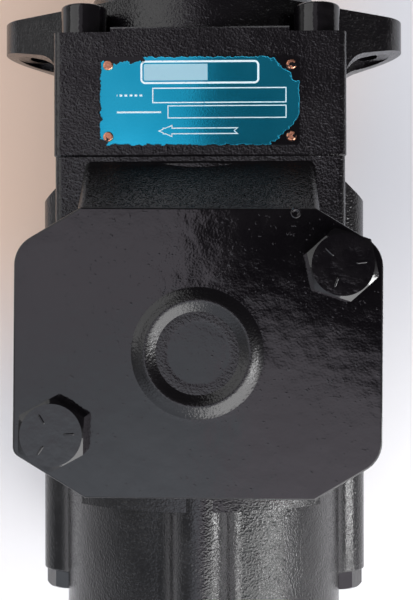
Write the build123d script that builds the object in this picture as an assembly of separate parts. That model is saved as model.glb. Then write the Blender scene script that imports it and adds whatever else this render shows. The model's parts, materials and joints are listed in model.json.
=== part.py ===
"""Double hydraulic vane pump: two vane cartridges on one keyed shaft, in a square mounting cap,
a centre housing with a capped suction port on top, and a round end cap.

Frame: the origin is the centre of the mounting face on the shaft axis. +Y runs along the shaft
towards its free end, +Z points up to the suction port. All lengths are millimetres.
"""

import os
from math import cos, pi, radians, sin, tan

from build123d import *

# Two-bolt mounting flange, 101.6 mm pilot
PILOT_R = 50.8
PILOT_HEIGHT = 9.5
EAR_THICKNESS = 12.7
EAR_HOLE_PITCH = 146.05
EAR_HOLE_R = 7.15
EAR_END_R = 18.0
EAR_SEAT_R = 12.5
EAR_SEAT_RISE = 1.7
GUSSET_END_RISE = 0.5
GUSSET_ELBOW_X = 5.3
GUSSET_ELBOW_Y = 6.3
GUSSET_ELBOW_R = 12.0
GUSSET_LENGTH = 27.0
FLANGE_DISC_R = 56.0
FLANGE_NECK = 2.6

# Square mounting cap block
CAP_HALF_WIDTH = 59.7
CAP_LENGTH = 53.0
CAP_EDGE_R = 3.0
CAP_FACE_EDGE = 0.8
SCREW_INSET = 11.3
SCREW_POCKET_R = 12.0
SCREW_POCKET_DEPTH = 2.2

# Centre housing
HOUSING_LENGTH = 141.9
FRONT_STEP = 0.5
FRONT_LENGTH = 35.0
BARREL_R = 62.2
LOBE_CENTRE_R = 61.5
LOBE_R = 12.0
LOBE_BLEND_R = 9.0
LOBE_COUNT = 4
LOBE_START = 3.0
LOBE_SLANT = 10.0
LOBE_RIM_R = 1.0
REAR_RIM_R = 72.5
REAR_RIM_LENGTH = 12.0
REAR_RIM_HALF_WIDTH = 49.0

# Suction boss on top of the housing
SUCTION_BORE_R = 38.1
SUCTION_PITCH_X = 106.38
SUCTION_PITCH_Y = 61.93
SUCTION_FACE_Z = 85.5
SUCTION_PAD_THICKNESS = 24.0
SUCTION_PAD_INSET = 3.5
SUCTION_PAD_UNDER_R = 5.0
SKIRT_INSET_X = 2.5
SKIRT_INSET_Y = 12.0
SKIRT_FOOT_INSET = 4.0
NECK_HALF_WIDTH = 47.0
NECK_FRONT_RISE = 27.0
NECK_FRONT_GAP = 1.2
NECK_REAR_GAP = 5.4
NECK_EDGE_R = 3.0

# Cover plate, gasket and bolts on the suction face
COVER_HALF_X = 68.9
COVER_HALF_Y = 54.3
COVER_BEHIND_PORT = 1.6
COVER_TURN = -0.5
COVER_THICKNESS = 8.0
COVER_TOP_HALF_EDGE = 44.0
COVER_CORNER_ANGLE = 31.0
COVER_CORNER_R = 12.0
COVER_CLIPPED_CORNER = 2.4
COVER_SHARP_CORNER_R = 4.0
COVER_EDGE_R = 0.8
GASKET_THICKNESS = 0.8
RIDGE_INNER_R = 15.6
RIDGE_CREST_R = 19.7
RIDGE_OUTER_R = 24.8
RIDGE_HEIGHT = 2.2
COVER_BOLT_R = 7.94
COVER_BOLT_FLATS = 23.81
COVER_BOLT_HEAD = 9.9
COVER_BOLT_LENGTH = 30.0
COVER_HOLE_R = 8.7
COVER_BOLT_TURNS = (42.0, 28.0)

# Round end cap
END_CAP_LENGTH = 66.0
END_CAP_LOBE_LENGTH = 38.7
END_CAP_NOSE_LENGTH = 8.0
END_CAP_NOSE_R = 54.0
END_CAP_NOSE_EDGE_R = 4.0

# Pressure ports
P1_BORE_R = 12.7
P1_LONG_PITCH = 52.37
P1_SHORT_PITCH = 26.19
P1_PAD_LONG = 80.0
P1_PAD_SHORT = 53.0
P1_BEHIND_FACE = 41.8
P2_BORE_R = 9.5
P2_LONG_PITCH = 47.63
P2_SHORT_PITCH = 22.23
P2_PAD_LONG = 66.0
P2_PAD_SHORT = 46.0
P2_BEHIND_HOUSING = 28.5
P2_ANGLE = 225.0
PORT_FACE_R = 76.2
PORT_PAD_CORNER_R = 12.0
PORT_PAD_EDGE = 0.8
PORT_PAD_ROOT = 4.0
PORT_BORE_OVERRUN = 3.0
PORT_TAP_R = 3.97
PORT_TAP_DEPTH = 19.0

# Cap screws and hex bolts, half-inch thread
SCREW_R = 6.35
SCREW_HOLE_R = 6.9
SCREW_HEAD_R = 9.525
SCREW_HEAD = 12.7
SCREW_HEAD_GAP = 0.5
SCREW_SOCKET_FLATS = 9.53
SCREW_SOCKET_DEPTH = 6.0
SCREW_THREAD_DEPTH = 26.0
HEX_BOLT_FLATS = 19.05
HEX_BOLT_HEAD = 8.2
BOLT_POCKET_R = 14.0
BOLT_THREAD_DEPTH = 20.0
THREAD_GAP = 0.05
TAP_EXTRA = 2.0

# Nameplate
PLATE_LONG = 81.0
PLATE_WIDE = 36.2
PLATE_THICKNESS = 0.6
PLATE_CORNER_R = 1.5
PLATE_BEHIND_FACE = 45.8
RIVET_PITCH_X = 74.2
RIVET_PITCH_Y = 29.0
RIVET_HEAD_R = 2.1
RIVET_HEAD = 0.9
RIVET_SHANK_R = 1.2
RIVET_SHANK = 5.0

# Drive shaft
SHAFT_END_R = 12.7
SHAFT_END_Y = 59.0
SHAFT_JOURNAL_R = 15.0
SEAL_JOURNAL_R = 16.0
SHAFT_BODY_R = 14.0
SPLINE_ROOT_R = 12.6
SPLINE_TEETH = 10
SPLINE_TOOTH_WIDTH = 4.0
SPLINE_GAP = 0.05
KEY_WIDTH = 6.35
KEY_HEIGHT = 6.35
KEY_LENGTH = 32.0
KEY_STANDOUT = 2.7
KEY_FROM_END = 4.0
SHAFT_CHAMFER = 1.2
JOURNAL_STEP = 2.0

# Ball bearing and shaft seal
BEARING_OUTER_R = 31.0
BEARING_WIDTH = 16.0
BEARING_FRONT_Y = 3.0
BALL_R = 4.76
BALL_COUNT = 9
BALL_PITCH_R = 23.0
BALL_GAP = 0.06
RACE_LIP = 2.6
CAGE_HALF_THICKNESS = 1.2
CAGE_HALF_WIDTH = 5.6
CIRCLIP_THICKNESS = 2.0
CIRCLIP_GROOVE = 2.0
CIRCLIP_GAP = 7.0
SEAL_OUTER_R = 24.0
SEAL_WIDTH = 9.0
SEAL_WALL = 1.6
SEAL_LIP_GAP = 0.05
SEAL_END_GAP = 0.5
PASSAGE_GAP = 1.0

# Vane cartridges
CARTRIDGE_R = 50.4
CARTRIDGE_BORE_R = 50.5
FRONT_PLATE_ENTRY = 6.3
REAR_PLATE_ENTRY = 17.8
PRESSURE_PLATE_THICKNESS = 18.0
CAM_WIDTH = 28.0
PORT_PLATE_THICKNESS = 16.0
LAND_WIDTH = 5.0
LAND_BORE_R = 42.0
HUB_R = 28.0
HUB_LENGTH = 24.0
HUB_GAP = 0.05
HUB_END_GAP = 1.0
CHAMBER_R = 44.0
CHAMBER_DEPTH = 26.0
CHAMBER_STEP = 2.0
CHAMBER_BOSS_R = 34.0
CHAMBER_BOSS_LENGTH = 12.0
CAM_MINOR_R = 35.0
CAM_LIFT_P1 = 5.7
CAM_LIFT_P2 = 2.0
CAM_POINTS = 36
ROTOR_R = 34.6
SIDE_GAP = 0.05
VANE_COUNT = 10
VANE_THICKNESS = 2.4
VANE_HEIGHT = 13.0
VANE_SLOT_GAP = 0.05
VANE_REST_GAP = 0.2
SLOT_ROOT_R = 2.2
SLOT_EXTRA_DEPTH = 0.6
BUSHING_WALL = 3.0
BUSHING_RECESS = 1.0
PRESS_GAP = 0.02
RUNNING_GAP = 0.05
KIDNEY_INNER_R = 30.5
KIDNEY_OUTER_R = 36.0
KIDNEY_ANGLE = 42.0
NOTCH_ANGLE = 44.0
NOTCH_DEPTH = 10.0
CARTRIDGE_SCREW_R = 3.0
CARTRIDGE_SCREW_HEAD_R = 5.0
CARTRIDGE_SCREW_HEAD = 5.5
DOWEL_R = 2.5
DOWEL_ANGLE = 24.0
DOWEL_INSET = 1.0
HARDWARE_R = 43.0
HARDWARE_GAP = 0.15

# Round section seals
O_RING_R = 1.15
O_RING_GROOVE_WIDTH = 2.7
O_RING_GROOVE_DEPTH = 2.4

# How far a cutting or joining shape runs past the face it meets
OVERRUN = 1.0

# Stations along the shaft, worked out from the lengths above
CAP_FRONT_Y = -EAR_THICKNESS - FLANGE_NECK
CAP_REAR_Y = CAP_FRONT_Y - CAP_LENGTH
HOUSING_REAR_Y = CAP_REAR_Y - HOUSING_LENGTH
END_CAP_REAR_Y = HOUSING_REAR_Y - END_CAP_LENGTH
BOLT_SEAT_Y = HOUSING_REAR_Y - END_CAP_LOBE_LENGTH
SCREW_SEAT_Y = CAP_FRONT_Y - SCREW_POCKET_DEPTH
SCREW_HALF_PITCH = CAP_HALF_WIDTH - SCREW_INSET
FRONT_HALF_WIDTH = CAP_HALF_WIDTH - FRONT_STEP
PRESSURE_PLATE_FRONT_Y = CAP_REAR_Y + FRONT_PLATE_ENTRY
CAM_FRONT_Y = PRESSURE_PLATE_FRONT_Y - PRESSURE_PLATE_THICKNESS
CAM_REAR_Y = CAM_FRONT_Y - CAM_WIDTH
PORT_PLATE_REAR_Y = CAM_REAR_Y - PORT_PLATE_THICKNESS
MIDDLE_Y = (PRESSURE_PLATE_FRONT_Y + HOUSING_REAR_Y - REAR_PLATE_ENTRY) / 2
HUB_FRONT_Y = PRESSURE_PLATE_FRONT_Y + HUB_LENGTH
CHAMBER_REAR_Y = PRESSURE_PLATE_FRONT_Y + CHAMBER_STEP
CHAMBER_FRONT_Y = CHAMBER_REAR_Y + CHAMBER_DEPTH
BEARING_REAR_Y = BEARING_FRONT_Y - BEARING_WIDTH
SEAL_REAR_Y = BEARING_REAR_Y - SEAL_WIDTH - 2 * SEAL_END_GAP
COVER_Z = SUCTION_FACE_Z + GASKET_THICKNESS
COVER_TOP_Z = COVER_Z + COVER_THICKNESS
P1_Y = -P1_BEHIND_FACE
P2_Y = HOUSING_REAR_Y - P2_BEHIND_HOUSING
PORT_PAD_DEPTH = PORT_FACE_R - CHAMBER_R - PORT_PAD_ROOT
PORT_BORE_DEPTH = PORT_FACE_R - CHAMBER_R + PORT_BORE_OVERRUN
PLATE_Y = -PLATE_BEHIND_FACE
BUSHING_OUTER_R = SHAFT_BODY_R + RUNNING_GAP + BUSHING_WALL
VANE_REST_TIP_R = ROTOR_R - VANE_REST_GAP


def station(y):
    """Plane across the shaft at y: sketch X is +X, sketch Y is +Z, and it extrudes rearwards."""
    return Plane(origin=(0, y, 0), x_dir=(1, 0, 0), z_dir=(0, -1, 0))


def prism(sketch, y_front, y_rear):
    """A cross-section extruded along the shaft between two stations."""
    return extrude(station(y_front) * sketch, amount=y_front - y_rear)


def rod(radius, y_front, y_rear, x=0.0, z=0.0):
    """A round bar parallel to the shaft."""
    return prism(Pos(x, z) * Circle(radius), y_front, y_rear)


def ring(outer_r, inner_r, y_front, y_rear):
    """A plain ring about the shaft axis."""
    return prism(Circle(outer_r) - Circle(inner_r), y_front, y_rear)


def turned(*outline):
    """A solid of revolution about the shaft axis from (radius, y) points."""
    return revolve(make_face(Polyline(*outline, close=True)), axis=Axis.Y)


def torus_ring(centre_r, section_r, y):
    """A round-section seal about the shaft axis."""
    return Location((0, y, 0), (90, 0, 0)) * Torus(centre_r, section_r)


def mirrored_end(shape):
    """The same piece turned end for end about the middle of the two cartridges."""
    return Location((0, 2 * MIDDLE_Y, 0), (0, 0, 180)) * shape


def polar(radius, angle):
    """Point of a cross-section at a radius and an angle in degrees."""
    return (radius * cos(radians(angle)), radius * sin(radians(angle)))


def cross_positions():
    """Centres of the four corner screws of the mounting cap."""
    return [
        (x * SCREW_HALF_PITCH, z * SCREW_HALF_PITCH) for x in (-1, 1) for z in (-1, 1)
    ]


def lobe_positions():
    """Centres of the bolt lobes round the barrel."""
    return [polar(LOBE_CENTRE_R, i * 360 / LOBE_COUNT) for i in range(LOBE_COUNT)]


def p1_plane():
    """Face of the front pressure port, on the underside of the mounting cap."""
    return Plane(origin=(0, P1_Y, -PORT_FACE_R), x_dir=(1, 0, 0), z_dir=(0, 0, -1))


def p2_plane():
    """Face of the rear pressure port, between two lobes of the end cap."""
    x, z = polar(PORT_FACE_R, P2_ANGLE)
    along_x, along_z = polar(1, P2_ANGLE + 90)
    return Plane(
        origin=(x, P2_Y, z), x_dir=(along_x, 0, along_z), z_dir=(x / PORT_FACE_R, 0, z / PORT_FACE_R)
    )


def port_pad(plane, long_side, short_side):
    """Raised pad that carries a pressure port, its edge broken."""
    pad = extrude(plane * RectangleRounded(long_side, short_side, PORT_PAD_CORNER_R), amount=-PORT_PAD_DEPTH)
    rim = pad.faces().filter_by(plane).sort_by(Axis(plane.origin, plane.z_dir))[-1].edges()
    return chamfer(rim, PORT_PAD_EDGE)


def port_holes(plane, bore_r, long_pitch, short_pitch):
    """The port bore and its four tapped holes, to be cut from a pad."""
    holes = extrude(plane * Circle(bore_r), amount=-PORT_BORE_DEPTH)
    for spot in GridLocations(long_pitch, short_pitch, 2, 2):
        holes += extrude(plane * spot * Circle(PORT_TAP_R), amount=-PORT_TAP_DEPTH)
    return holes


def flange_outline():
    """Two ears joined to the central disc by tangent flanks."""
    ears = Sketch() + [Pos(x, 0) * Circle(EAR_END_R) for x in (-EAR_HOLE_PITCH / 2, EAR_HOLE_PITCH / 2)]
    return make_hull((ears + Circle(FLANGE_DISC_R)).edges())


def lobed_outline():
    """Barrel with four bolt lobes, blended in by concave fillets."""
    outline = Sketch() + Circle(BARREL_R)
    outline += [Pos(*centre) * Circle(LOBE_R) for centre in lobe_positions()]
    return fillet(outline.vertices(), LOBE_BLEND_R)


def screw_pocket(x, z):
    """Corner recess for one cap screw head, round where it meets the block."""
    reach = CAP_HALF_WIDTH
    pocket = Pos(x, z) * Circle(SCREW_POCKET_R)
    side = 1 if x > 0 else -1
    up = 1 if z > 0 else -1
    pocket += Pos(x + side * reach / 2, z) * Rectangle(reach, 2 * SCREW_POCKET_R)
    pocket += Pos(x, z + up * reach / 2) * Rectangle(2 * SCREW_POCKET_R, reach)
    pocket += Pos(x + side * reach / 2, z + up * reach / 2) * Rectangle(reach, reach)
    return pocket


def ear_gusset():
    """Web behind the right ear, as tall as the flange and hollowed in a long curve."""
    end_x = EAR_HOLE_PITCH / 2 + EAR_END_R
    foot_y = -EAR_THICKNESS - GUSSET_LENGTH
    profile = make_face(
        Polyline(
            (CAP_HALF_WIDTH - OVERRUN, -EAR_THICKNESS),
            (end_x, -EAR_THICKNESS),
            (end_x, -EAR_THICKNESS - GUSSET_END_RISE),
            (CAP_HALF_WIDTH + GUSSET_ELBOW_X, -EAR_THICKNESS - GUSSET_ELBOW_Y),
            (CAP_HALF_WIDTH, foot_y),
            (CAP_HALF_WIDTH - OVERRUN, foot_y),
            close=True,
        )
    )
    corner = (CAP_HALF_WIDTH + GUSSET_ELBOW_X, -EAR_THICKNESS - GUSSET_ELBOW_Y)
    profile = fillet(profile.vertices().sort_by_distance(corner)[0], GUSSET_ELBOW_R)
    web = extrude(profile, amount=FLANGE_DISC_R, both=True) & prism(flange_outline(), 0, foot_y)
    seat_y = -EAR_THICKNESS - EAR_SEAT_RISE
    return web - rod(EAR_SEAT_R, seat_y, foot_y, EAR_HOLE_PITCH / 2)


def bearing_recess():
    """Front pocket for circlip, bearing and seal, and the shaft passage behind them."""
    groove_front_y = BEARING_FRONT_Y + CIRCLIP_THICKNESS + RUNNING_GAP
    return turned(
        (0, PILOT_HEIGHT + OVERRUN),
        (BEARING_OUTER_R, PILOT_HEIGHT + OVERRUN),
        (BEARING_OUTER_R, groove_front_y),
        (BEARING_OUTER_R + CIRCLIP_GROOVE, groove_front_y),
        (BEARING_OUTER_R + CIRCLIP_GROOVE, BEARING_FRONT_Y),
        (BEARING_OUTER_R, BEARING_FRONT_Y),
        (BEARING_OUTER_R, BEARING_REAR_Y),
        (SEAL_OUTER_R, BEARING_REAR_Y),
        (SEAL_OUTER_R, SEAL_REAR_Y),
        (SEAL_JOURNAL_R + PASSAGE_GAP, SEAL_REAR_Y),
        (SEAL_JOURNAL_R + PASSAGE_GAP, HUB_FRONT_Y),
        (0, HUB_FRONT_Y),
    )


def pressure_chamber(y_open):
    """Annular oil chamber round the hub of a pressure plate, open towards the cartridge bore."""
    boss_rear_y = CHAMBER_FRONT_Y - CHAMBER_BOSS_LENGTH
    chamber = rod(CHAMBER_R, CHAMBER_FRONT_Y, CHAMBER_REAR_Y)
    chamber -= ring(CHAMBER_BOSS_R, HUB_R + HUB_GAP, CHAMBER_FRONT_Y, boss_rear_y)
    chamber += rod(HUB_R + HUB_GAP, HUB_FRONT_Y + HUB_END_GAP, boss_rear_y)
    chamber += rod(CARTRIDGE_BORE_R, CHAMBER_REAR_Y, y_open)
    groove_r = CARTRIDGE_BORE_R + O_RING_GROOVE_WIDTH
    return chamber + rod(groove_r, y_open + O_RING_GROOVE_DEPTH, y_open)


def make_mounting_cap():
    """Square front cap: pilot and two-ear flange, bearing pocket, chamber and port P1."""
    pilot = rod(PILOT_R, PILOT_HEIGHT, 0)
    pilot = chamfer(pilot.edges().group_by(Axis.Y)[-1], SHAFT_CHAMFER)
    body = pilot + prism(flange_outline(), 0, -EAR_THICKNESS)
    body += rod(FLANGE_DISC_R, -EAR_THICKNESS, CAP_FRONT_Y)
    square = RectangleRounded(2 * CAP_HALF_WIDTH, 2 * CAP_HALF_WIDTH, CAP_EDGE_R)
    block = prism(square, CAP_FRONT_Y, CAP_REAR_Y)
    block = chamfer(block.edges().group_by(Axis.Y)[-1], CAP_FACE_EDGE)
    block = chamfer(block.edges().group_by(Axis.Y)[0], CAP_FACE_EDGE)
    for x, z in cross_positions():
        block -= prism(screw_pocket(x, z), CAP_FRONT_Y, SCREW_SEAT_Y)
    body += block
    right_gusset = ear_gusset()
    body += [right_gusset, mirror(right_gusset, Plane.YZ)]
    body += port_pad(p1_plane(), P1_PAD_LONG, P1_PAD_SHORT)
    for x, z in cross_positions():
        body -= rod(SCREW_HEAD_R + SCREW_HEAD_GAP, 0, SCREW_SEAT_Y, x, z)
        body -= rod(SCREW_HOLE_R, SCREW_SEAT_Y, CAP_REAR_Y, x, z)
    for side in (-1, 1):
        seat_y = -EAR_THICKNESS - EAR_SEAT_RISE
        body -= rod(EAR_HOLE_R, 0, seat_y, side * EAR_HOLE_PITCH / 2)
    body -= bearing_recess()
    body -= pressure_chamber(CAP_REAR_Y)
    body -= port_holes(p1_plane(), P1_BORE_R, P1_LONG_PITCH, P1_SHORT_PITCH)
    plate_plane = Plane.XY.offset(CAP_HALF_WIDTH)
    for spot in rivet_spots():
        hole_r = RIVET_SHANK_R + THREAD_GAP
        body -= extrude(plate_plane * spot * Circle(hole_r), amount=-RIVET_SHANK - THREAD_GAP)
    return body


def rivet_spots():
    """Places of the four drive rivets in the corners of the nameplate."""
    return [Pos(0, PLATE_Y) * spot for spot in GridLocations(RIVET_PITCH_X, RIVET_PITCH_Y, 2, 2)]


def cover_outline(inset=0.0):
    """Plate outline with slanted corners, the left rear one clipped further and left nearly sharp."""
    half_x = COVER_HALF_X - inset
    half_y = COVER_HALF_Y - inset
    edge = COVER_TOP_HALF_EDGE
    slope = tan(radians(COVER_CORNER_ANGLE))
    side = half_y - (half_x - edge) * slope
    sharp_corner = (-half_x, COVER_CLIPPED_CORNER * slope - side)
    round_corners = [(half_x, side), (half_x, -side), (-half_x, side)]
    outline = make_face(
        Polyline(
            (edge, half_y),
            round_corners[0],
            round_corners[1],
            (edge, -half_y),
            (COVER_CLIPPED_CORNER - edge, -half_y),
            sharp_corner,
            round_corners[2],
            (-edge, half_y),
            close=True,
        )
    )
    for corner in round_corners:
        outline = fillet(outline.vertices().sort_by_distance(corner)[0], COVER_CORNER_R)
    return fillet(outline.vertices().sort_by_distance(sharp_corner)[0], COVER_SHARP_CORNER_R)


def pad_outline():
    """Outline of the suction pad and its gasket, inside the cover plate's edge."""
    return Pos(0, MIDDLE_Y) * cover_outline(SUCTION_PAD_INSET)


def plate_place():
    """Where the cover plate's middle lies: a little behind the port and slightly turned."""
    return Pos(0, MIDDLE_Y - COVER_BEHIND_PORT) * Rot(0, 0, COVER_TURN)


def suction_spots():
    """Places of the four tapped holes round the suction bore."""
    return [Pos(0, MIDDLE_Y) * spot for spot in GridLocations(SUCTION_PITCH_X, SUCTION_PITCH_Y, 2, 2)]


def suction_boss():
    """Pad under the cover plate and the sloping neck that joins it to the barrel."""
    pad_bottom_z = SUCTION_FACE_Z - SUCTION_PAD_THICKNESS
    pad_half_y = COVER_HALF_Y - SUCTION_PAD_INSET
    pad = extrude(Plane.XY.offset(SUCTION_FACE_Z) * pad_outline(), amount=-SUCTION_PAD_THICKNESS)
    pad = fillet(pad.edges().group_by(Axis.Z)[0], SUCTION_PAD_UNDER_R)
    skirt_half_x = COVER_HALF_X - SUCTION_PAD_INSET - SKIRT_INSET_X
    skirt_top = Rectangle(2 * skirt_half_x, 2 * (pad_half_y - SKIRT_INSET_Y))
    skirt_foot = Rectangle(2 * NECK_HALF_WIDTH, 2 * (pad_half_y - SKIRT_FOOT_INSET))
    skirt = loft(
        [
            Plane.XY.offset(BARREL_R / 2) * Pos(0, MIDDLE_Y) * skirt_foot,
            Plane.XY.offset(pad_bottom_z) * Pos(0, MIDDLE_Y) * skirt_top,
        ]
    )
    front_y = MIDDLE_Y + pad_half_y
    rear_y = MIDDLE_Y - pad_half_y
    foot_front_y = CAP_REAR_Y - NECK_FRONT_GAP
    foot_rear_y = HOUSING_REAR_Y + NECK_REAR_GAP
    side_profile = make_face(
        Polyline(
            (front_y, SUCTION_FACE_Z),
            (foot_front_y, SUCTION_FACE_Z - NECK_FRONT_RISE),
            (foot_front_y, 0),
            (foot_rear_y, 0),
            (foot_rear_y, BARREL_R),
            (rear_y, SUCTION_FACE_Z - SUCTION_PAD_THICKNESS / 2),
            (rear_y, SUCTION_FACE_Z),
            close=True,
        )
    )
    neck_plane = Plane(origin=(0, 0, 0), x_dir=(0, 1, 0), z_dir=(1, 0, 0))
    neck = extrude(neck_plane * side_profile, amount=NECK_HALF_WIDTH, both=True)
    neck = fillet(neck.edges().group_by(Axis.X)[0] + neck.edges().group_by(Axis.X)[-1], NECK_EDGE_R)
    return pad + skirt + neck


def make_pump_housing():
    """Centre housing: square front, lobed barrel, suction boss and the two cartridge bores."""
    square = RectangleRounded(2 * FRONT_HALF_WIDTH, 2 * FRONT_HALF_WIDTH, CAP_EDGE_R)
    body = prism(square, CAP_REAR_Y, CAP_REAR_Y - FRONT_LENGTH)
    lobe_front_y = CAP_REAR_Y - LOBE_START
    lobed = prism(lobed_outline(), lobe_front_y, HOUSING_REAR_Y)
    reach = LOBE_CENTRE_R + LOBE_R
    lobed &= turned(
        (0, lobe_front_y),
        (reach - LOBE_SLANT, lobe_front_y),
        (reach + OVERRUN, lobe_front_y - LOBE_SLANT - OVERRUN),
        (reach + OVERRUN, HOUSING_REAR_Y),
        (0, HOUSING_REAR_Y),
    )
    # the top lobe starts inside the suction boss
    top = Pos(0, reach) * Rectangle(2 * (LOBE_R + LOBE_BLEND_R), 2 * reach)
    lobed -= prism(top - Circle(BARREL_R), lobe_front_y, MIDDLE_Y)
    body += lobed
    rim = Circle(REAR_RIM_R) & Pos(0, REAR_RIM_R / 2) * Rectangle(2 * REAR_RIM_HALF_WIDTH, REAR_RIM_R)
    body += prism(rim, HOUSING_REAR_Y + REAR_RIM_LENGTH, HOUSING_REAR_Y)
    body += suction_boss()
    body -= rod(CARTRIDGE_BORE_R, CAP_REAR_Y, PORT_PLATE_REAR_Y)
    body -= rod(LAND_BORE_R, PORT_PLATE_REAR_Y, PORT_PLATE_REAR_Y - LAND_WIDTH)
    gallery_rear_y = 2 * MIDDLE_Y - PORT_PLATE_REAR_Y
    body -= rod(CARTRIDGE_BORE_R, PORT_PLATE_REAR_Y - LAND_WIDTH, gallery_rear_y + LAND_WIDTH)
    body -= rod(LAND_BORE_R, gallery_rear_y + LAND_WIDTH, gallery_rear_y)
    body -= rod(CARTRIDGE_BORE_R, gallery_rear_y, HOUSING_REAR_Y)
    relief_r = CARTRIDGE_SCREW_HEAD_R + 2 * HARDWARE_GAP
    for angle in (90, 270):
        x, z = polar(HARDWARE_R, angle)
        body -= rod(relief_r, PORT_PLATE_REAR_Y, gallery_rear_y, x, z)
    suction_plane = Plane.XY.offset(SUCTION_FACE_Z)
    body -= extrude(suction_plane * Pos(0, MIDDLE_Y) * Circle(SUCTION_BORE_R), amount=-SUCTION_FACE_Z / 2)
    for spot in suction_spots():
        hole = Circle(COVER_BOLT_R + THREAD_GAP)
        body -= extrude(suction_plane * spot * hole, amount=-COVER_BOLT_LENGTH + COVER_THICKNESS - OVERRUN)
    for x, z in cross_positions():
        body -= rod(SCREW_R + THREAD_GAP, CAP_REAR_Y, CAP_REAR_Y - SCREW_THREAD_DEPTH - TAP_EXTRA, x, z)
    tap_end_y = HOUSING_REAR_Y + BOLT_THREAD_DEPTH + TAP_EXTRA
    for x, z in lobe_positions():
        body -= rod(SCREW_R + THREAD_GAP, tap_end_y, HOUSING_REAR_Y, x, z)
    return body


def make_end_cap():
    """Round rear cap with bolt lobes, the rear pressure chamber and port P2."""
    body = prism(lobed_outline(), HOUSING_REAR_Y, BOLT_SEAT_Y)
    body = fillet(body.edges().group_by(Axis.Y)[0], LOBE_RIM_R)
    nose_y = END_CAP_REAR_Y + END_CAP_NOSE_LENGTH
    drum = turned(
        (0, HOUSING_REAR_Y),
        (BARREL_R, HOUSING_REAR_Y),
        (BARREL_R, nose_y),
        (END_CAP_NOSE_R, END_CAP_REAR_Y),
        (0, END_CAP_REAR_Y),
    )
    rings = drum.edges().filter_by(GeomType.CIRCLE).group_by(Axis.Y)
    drum = fillet(rings[0] + rings[1], END_CAP_NOSE_EDGE_R)
    pad = port_pad(p2_plane(), P2_PAD_LONG, P2_PAD_SHORT)
    for x, z in lobe_positions():
        pocket = rod(BOLT_POCKET_R, BOLT_SEAT_Y, END_CAP_REAR_Y - OVERRUN, x, z)
        drum -= pocket
        pad -= pocket
    body += drum
    body += pad
    for x, z in lobe_positions():
        body -= rod(SCREW_HOLE_R, HOUSING_REAR_Y + OVERRUN, BOLT_SEAT_Y - OVERRUN, x, z)
    joint_y = 2 * MIDDLE_Y - HOUSING_REAR_Y
    body -= mirrored_end(pressure_chamber(joint_y))
    body -= port_holes(p2_plane(), P2_BORE_R, P2_LONG_PITCH, P2_SHORT_PITCH)
    return body


def make_cover_plate():
    """Plate that closes the suction port, with a pressed annular ridge in its middle."""
    plate = extrude(Plane.XY.offset(COVER_Z) * plate_place() * cover_outline(), amount=COVER_THICKNESS)
    plate = fillet(plate.edges().group_by(Axis.Z)[-1], COVER_EDGE_R)
    rise = Spline(
        (RIDGE_INNER_R, 0),
        (RIDGE_CREST_R, RIDGE_HEIGHT),
        (RIDGE_OUTER_R, 0),
        tangents=[(1, 0.5), (1, -0.2)],
    )
    section = make_face(rise + Line(rise @ 1, rise @ 0))
    ridge = revolve(Plane.XZ * section, axis=Axis.Z)
    plate += Pos(0, 0, COVER_TOP_Z) * plate_place() * ridge
    for spot in cover_bolt_spots():
        plate -= extrude(Plane.XY.offset(COVER_Z) * spot * Circle(COVER_HOLE_R), amount=COVER_THICKNESS)
    return plate


def cover_bolt_spots():
    """The two diagonal holes that hold the cover plate: right front and left rear."""
    half_x = SUCTION_PITCH_X / 2
    half_y = SUCTION_PITCH_Y / 2
    return [Pos(half_x, MIDDLE_Y + half_y), Pos(-half_x, MIDDLE_Y - half_y)]


def make_cover_gasket():
    """Flat gasket between cover plate and suction face."""
    outline = pad_outline() - Pos(0, MIDDLE_Y) * Circle(SUCTION_BORE_R)
    for spot in suction_spots():
        outline -= spot * Circle(COVER_HOLE_R)
    return extrude(Plane.XY.offset(SUCTION_FACE_Z) * outline, amount=GASKET_THICKNESS)


def hex_bolt(flats, head, shank_r, length):
    """Hex bolt along local Z: its head stands up from zero, its shank hangs down."""
    body = extrude(RegularPolygon(flats / 2, 6, major_radius=False), amount=head)
    corner_r = flats / 2 / cos(pi / 6)
    bevel = corner_r - flats / 2 * 0.96
    crown = Cylinder(corner_r + 0.01, head, align=(Align.CENTER, Align.CENTER, Align.MIN))
    crown = chamfer(crown.edges().group_by(Axis.Z)[-1], bevel * tan(radians(30)), bevel)
    return (body & crown) + extrude(Circle(shank_r), amount=-length)


def make_cover_bolts():
    """Two hex bolts of the cover plate."""
    bolt = hex_bolt(COVER_BOLT_FLATS, COVER_BOLT_HEAD, COVER_BOLT_R, COVER_BOLT_LENGTH)
    seat = Plane.XY.offset(COVER_TOP_Z)
    turned_spots = zip(cover_bolt_spots(), COVER_BOLT_TURNS)
    return Compound([seat * spot * Rot(0, 0, turn) * bolt for spot, turn in turned_spots])


def make_cap_screws():
    """Four socket-head screws through the corners of the mounting cap."""
    length = SCREW_SEAT_Y - CAP_REAR_Y + SCREW_THREAD_DEPTH
    head = extrude(Circle(SCREW_HEAD_R), amount=SCREW_HEAD)
    head = fillet(head.edges().group_by(Axis.Z)[-1], 1.0)
    socket = RegularPolygon(SCREW_SOCKET_FLATS / 2, 6, major_radius=False)
    head -= extrude(Plane.XY.offset(SCREW_HEAD) * socket, amount=-SCREW_SOCKET_DEPTH)
    screw = head + extrude(Circle(SCREW_R), amount=-length)
    facing_front = Plane(origin=(0, SCREW_SEAT_Y, 0), x_dir=(1, 0, 0), z_dir=(0, 1, 0))
    return Compound([facing_front * Pos(x, z) * screw for x, z in cross_positions()])


def make_end_cap_bolts():
    """Four hex bolts through the lobes of the end cap."""
    bolt = hex_bolt(HEX_BOLT_FLATS, HEX_BOLT_HEAD, SCREW_R, END_CAP_LOBE_LENGTH + BOLT_THREAD_DEPTH)
    return Compound([station(BOLT_SEAT_Y) * Pos(x, z) * bolt for x, z in lobe_positions()])


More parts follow.
